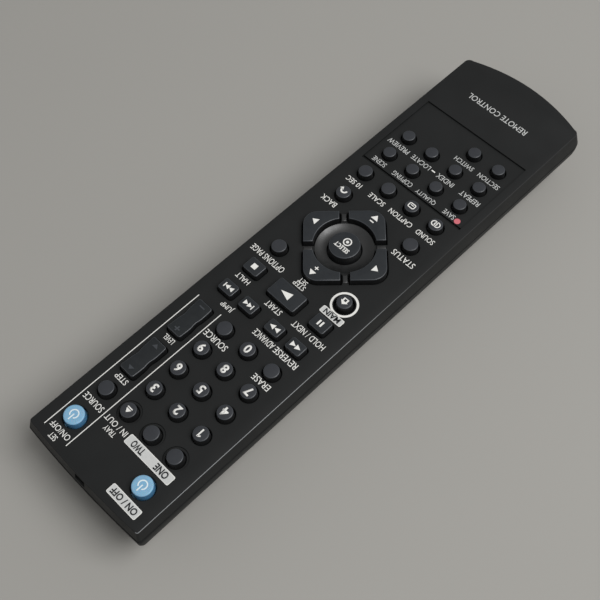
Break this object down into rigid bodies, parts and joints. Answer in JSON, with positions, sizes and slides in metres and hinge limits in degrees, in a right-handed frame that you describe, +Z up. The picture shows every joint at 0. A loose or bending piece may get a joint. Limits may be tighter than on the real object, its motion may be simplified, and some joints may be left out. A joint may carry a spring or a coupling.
{
  "type": "remote control",
  "caption": "Long handheld infra-red remote control with rubber keys, two rocker keys, a four-way pad and a sliding battery door.",
  "frame": {"origin": "on the flat underside, below the middle of the part's box", "axes": "+X to the right of someone who reads the keys, +Y along the case towards the infra-red window, +Z up out of the key face"},
  "size_m": [0.0502, 0.1992, 0.0232],
  "materials": {
    "case": "fine-grained matte charcoal",
    "key": "matte dark grey silicone rubber",
    "power": "satin light blue silicone rubber",
    "mat": "matte grey silicone rubber",
    "board": "brown paper laminate under a dull lacquer",
    "diode": "clear gloss, nearly black violet",
    "cell": "satin metal jacket",
    "contact": "bright nickel-plated steel"
  },
  "bodies": {
    "case": {"top_case": "case", "bottom_case": "case", "key_mat": "mat", "circuit_board": "board", "infra_red_led": "diode", "battery_left": "cell", "battery_right": "cell", "contact_bridge": "contact", "contact_spring": "contact"},
    "battery_door": {"battery_door": "case"},
    "power_key": {"power_key": "power"},
    "tv_power_key": {"tv_power_key": "power"},
    "mode_a_key": {"mode_a_key": "key"},
    "mode_b_key": {"mode_b_key": "key"},
    "eject_key": {"eject_key": "key"},
    "tv_input_key": {"tv_input_key": "key"},
    "digit_1_key": {"digit_1_key": "key"},
    "digit_2_key": {"digit_2_key": "key"},
    "digit_3_key": {"digit_3_key": "key"},
    "digit_4_key": {"digit_4_key": "key"},
    "digit_5_key": {"digit_5_key": "key"},
    "digit_6_key": {"digit_6_key": "key"},
    "digit_7_key": {"digit_7_key": "key"},
    "digit_8_key": {"digit_8_key": "key"},
    "digit_9_key": {"digit_9_key": "key"},
    "clear_key": {"clear_key": "key"},
    "digit_0_key": {"digit_0_key": "key"},
    "input_key": {"input_key": "key"},
    "seek_back_key": {"seek_back_key": "key"},
    "seek_forward_key": {"seek_forward_key": "key"},
    "skip_back_key": {"skip_back_key": "key"},
    "skip_forward_key": {"skip_forward_key": "key"},
    "pause_key": {"pause_key": "key"},
    "play_key": {"play_key": "key"},
    "stop_key": {"stop_key": "key"},
    "home_key": {"home_key": "key"},
    "menu_key": {"menu_key": "key"},
    "up_key": {"up_key": "key"},
    "left_key": {"left_key": "key"},
    "down_key": {"down_key": "key"},
    "right_key": {"right_key": "key"},
    "enter_key": {"enter_key": "key"},
    "display_key": {"display_key": "key"},
    "return_key": {"return_key": "key"},
    "audio_key": {"audio_key": "key"},
    "subtitle_key": {"subtitle_key": "key"},
    "zoom_key": {"zoom_key": "key"},
    "jump_key": {"jump_key": "key"},
    "record_key": {"record_key": "key"},
    "record_mode_key": {"record_mode_key": "key"},
    "copy_key": {"copy_key": "key"},
    "title_key": {"title_key": "key"},
    "play_mode_key": {"play_mode_key": "key"},
    "marker_key": {"marker_key": "key"},
    "search_key": {"search_key": "key"},
    "preview_key": {"preview_key": "key"},
    "chapter_key": {"chapter_key": "key"},
    "tv_switch_key": {"tv_switch_key": "key"},
    "channel_rocker": {"channel_rocker": "key"},
    "volume_rocker": {"volume_rocker": "key"}
  },
  "joints": [
    {"name": "battery_door_slide", "type": "slide", "parent": "case", "child": "battery_door", "axis": [0, -1, 0], "range_m": [0, 0.056]},
    {"name": "power_key_press", "type": "slide", "parent": "case", "child": "power_key", "axis": [0, 0, -1], "range_m": [0, 0.001], "stiffness_N_per_m": 400},
    {"name": "tv_power_key_press", "type": "slide", "parent": "case", "child": "tv_power_key", "axis": [0, 0, -1], "range_m": [0, 0.001], "stiffness_N_per_m": 400},
    {"name": "mode_a_key_press", "type": "slide", "parent": "case", "child": "mode_a_key", "axis": [0, 0, -1], "range_m": [0, 0.001], "stiffness_N_per_m": 400},
    {"name": "mode_b_key_press", "type": "slide", "parent": "case", "child": "mode_b_key", "axis": [0, 0, -1], "range_m": [0, 0.001], "stiffness_N_per_m": 400},
    {"name": "eject_key_press", "type": "slide", "parent": "case", "child": "eject_key", "axis": [0, 0, -1], "range_m": [0, 0.001], "stiffness_N_per_m": 400},
    {"name": "tv_input_key_press", "type": "slide", "parent": "case", "child": "tv_input_key", "axis": [0, 0, -1], "range_m": [0, 0.001], "stiffness_N_per_m": 400},
    {"name": "digit_1_key_press", "type": "slide", "parent": "case", "child": "digit_1_key", "axis": [0, 0, -1], "range_m": [0, 0.001], "stiffness_N_per_m": 400},
    {"name": "digit_2_key_press", "type": "slide", "parent": "case", "child": "digit_2_key", "axis": [0, 0, -1], "range_m": [0, 0.001], "stiffness_N_per_m": 400},
    {"name": "digit_3_key_press", "type": "slide", "parent": "case", "child": "digit_3_key", "axis": [0, 0, -1], "range_m": [0, 0.001], "stiffness_N_per_m": 400},
    {"name": "digit_4_key_press", "type": "slide", "parent": "case", "child": "digit_4_key", "axis": [0, 0, -1], "range_m": [0, 0.001], "stiffness_N_per_m": 400},
    {"name": "digit_5_key_press", "type": "slide", "parent": "case", "child": "digit_5_key", "axis": [0, 0, -1], "range_m": [0, 0.001], "stiffness_N_per_m": 400},
    {"name": "digit_6_key_press", "type": "slide", "parent": "case", "child": "digit_6_key", "axis": [0, 0, -1], "range_m": [0, 0.001], "stiffness_N_per_m": 400},
    {"name": "digit_7_key_press", "type": "slide", "parent": "case", "child": "digit_7_key", "axis": [0, 0, -1], "range_m": [0, 0.001], "stiffness_N_per_m": 400},
    {"name": "digit_8_key_press", "type": "slide", "parent": "case", "child": "digit_8_key", "axis": [0, 0, -1], "range_m": [0, 0.001], "stiffness_N_per_m": 400},
    {"name": "digit_9_key_press", "type": "slide", "parent": "case", "child": "digit_9_key", "axis": [0, 0, -1], "range_m": [0, 0.001], "stiffness_N_per_m": 400},
    {"name": "clear_key_press", "type": "slide", "parent": "case", "child": "clear_key", "axis": [0, 0, -1], "range_m": [0, 0.001], "stiffness_N_per_m": 400},
    {"name": "digit_0_key_press", "type": "slide", "parent": "case", "child": "digit_0_key", "axis": [0, 0, -1], "range_m": [0, 0.001], "stiffness_N_per_m": 400},
    {"name": "input_key_press", "type": "slide", "parent": "case", "child": "input_key", "axis": [0, 0, -1], "range_m": [0, 0.001], "stiffness_N_per_m": 400},
    {"name": "seek_back_key_press", "type": "slide", "parent": "case", "child": "seek_back_key", "axis": [0, 0, -1], "range_m": [0, 0.001], "stiffness_N_per_m": 400},
    {"name": "seek_forward_key_press", "type": "slide", "parent": "case", "child": "seek_forward_key", "axis": [0, 0, -1], "range_m": [0, 0.001], "stiffness_N_per_m": 400},
    {"name": "skip_back_key_press", "type": "slide", "parent": "case", "child": "skip_back_key", "axis": [0, 0, -1], "range_m": [0, 0.001], "stiffness_N_per_m": 400},
    {"name": "skip_forward_key_press", "type": "slide", "parent": "case", "child": "skip_forward_key", "axis": [0, 0, -1], "range_m": [0, 0.001], "stiffness_N_per_m": 400},
    {"name": "pause_key_press", "type": "slide", "parent": "case", "child": "pause_key", "axis": [0, 0, -1], "range_m": [0, 0.001], "stiffness_N_per_m": 400},
    {"name": "play_key_press", "type": "slide", "parent": "case", "child": "play_key", "axis": [0, 0, -1], "range_m": [0, 0.001], "stiffness_N_per_m": 400},
    {"name": "stop_key_press", "type": "slide", "parent": "case", "child": "stop_key", "axis": [0, 0, -1], "range_m": [0, 0.001], "stiffness_N_per_m": 400},
    {"name": "home_key_press", "type": "slide", "parent": "case", "child": "home_key", "axis": [0, 0, -1], "range_m": [0, 0.001], "stiffness_N_per_m": 400},
    {"name": "menu_key_press", "type": "slide", "parent": "case", "child": "menu_key", "axis": [0, 0, -1], "range_m": [0, 0.001], "stiffness_N_per_m": 400},
    {"name": "up_key_press", "type": "slide", "parent": "case", "child": "up_key", "axis": [0, 0, -1], "range_m": [0, 0.001], "stiffness_N_per_m": 400},
    {"name": "left_key_press", "type": "slide", "parent": "case", "child": "left_key", "axis": [0, 0, -1], "range_m": [0, 0.001], "stiffness_N_per_m": 400},
    {"name": "down_key_press", "type": "slide", "parent": "case", "child": "down_key", "axis": [0, 0, -1], "range_m": [0, 0.001], "stiffness_N_per_m": 400},
    {"name": "right_key_press", "type": "slide", "parent": "case", "child": "right_key", "axis": [0, 0, -1], "range_m": [0, 0.001], "stiffness_N_per_m": 400},
    {"name": "enter_key_press", "type": "slide", "parent": "case", "child": "enter_key", "axis": [0, 0, -1], "range_m": [0, 0.001], "stiffness_N_per_m": 400},
    {"name": "display_key_press", "type": "slide", "parent": "case", "child": "display_key", "axis": [0, 0, -1], "range_m": [0, 0.001], "stiffness_N_per_m": 400},
    {"name": "return_key_press", "type": "slide", "parent": "case", "child": "return_key", "axis": [0, 0, -1], "range_m": [0, 0.001], "stiffness_N_per_m": 400},
    {"name": "audio_key_press", "type": "slide", "parent": "case", "child": "audio_key", "axis": [0, 0, -1], "range_m": [0, 0.001], "stiffness_N_per_m": 400},
    {"name": "subtitle_key_press", "type": "slide", "parent": "case", "child": "subtitle_key", "axis": [0, 0, -1], "range_m": [0, 0.001], "stiffness_N_per_m": 400},
    {"name": "zoom_key_press", "type": "slide", "parent": "case", "child": "zoom_key", "axis": [0, 0, -1], "range_m": [0, 0.001], "stiffness_N_per_m": 400},
    {"name": "jump_key_press", "type": "slide", "parent": "case", "child": "jump_key", "axis": [0, 0, -1], "range_m": [0, 0.001], "stiffness_N_per_m": 400},
    {"name": "record_key_press", "type": "slide", "parent": "case", "child": "record_key", "axis": [0, 0, -1], "range_m": [0, 0.001], "stiffness_N_per_m": 400},
    {"name": "record_mode_key_press", "type": "slide", "parent": "case", "child": "record_mode_key", "axis": [0, 0, -1], "range_m": [0, 0.001], "stiffness_N_per_m": 400},
    {"name": "copy_key_press", "type": "slide", "parent": "case", "child": "copy_key", "axis": [0, 0, -1], "range_m": [0, 0.001], "stiffness_N_per_m": 400},
    {"name": "title_key_press", "type": "slide", "parent": "case", "child": "title_key", "axis": [0, 0, -1], "range_m": [0, 0.001], "stiffness_N_per_m": 400},
    {"name": "play_mode_key_press", "type": "slide", "parent": "case", "child": "play_mode_key", "axis": [0, 0, -1], "range_m": [0, 0.001], "stiffness_N_per_m": 400},
    {"name": "marker_key_press", "type": "slide", "parent": "case", "child": "marker_key", "axis": [0, 0, -1], "range_m": [0, 0.001], "stiffness_N_per_m": 400},
    {"name": "search_key_press", "type": "slide", "parent": "case", "child": "search_key", "axis": [0, 0, -1], "range_m": [0, 0.001], "stiffness_N_per_m": 400},
    {"name": "preview_key_press", "type": "slide", "parent": "case", "child": "preview_key", "axis": [0, 0, -1], "range_m": [0, 0.001], "stiffness_N_per_m": 400},
    {"name": "chapter_key_press", "type": "slide", "parent": "case", "child": "chapter_key", "axis": [0, 0, -1], "range_m": [0, 0.001], "stiffness_N_per_m": 400},
    {"name": "tv_switch_key_press", "type": "slide", "parent": "case", "child": "tv_switch_key", "axis": [0, 0, -1], "range_m": [0, 0.001], "stiffness_N_per_m": 400},
    {"name": "channel_rocker_rock", "type": "hinge", "parent": "case", "child": "channel_rocker", "pos_m": [0.01515, 0.06185, 0.0202], "axis": [1, 0, 0], "range_deg": [-5, 5], "stiffness_Nm_per_rad": 0.02},
    {"name": "volume_rocker_rock", "type": "hinge", "parent": "case", "child": "volume_rocker", "pos_m": [0.01515, 0.04355, 0.0202], "axis": [1, 0, 0], "range_deg": [-5, 5], "stiffness_Nm_per_rad": 0.02}
  ]
}
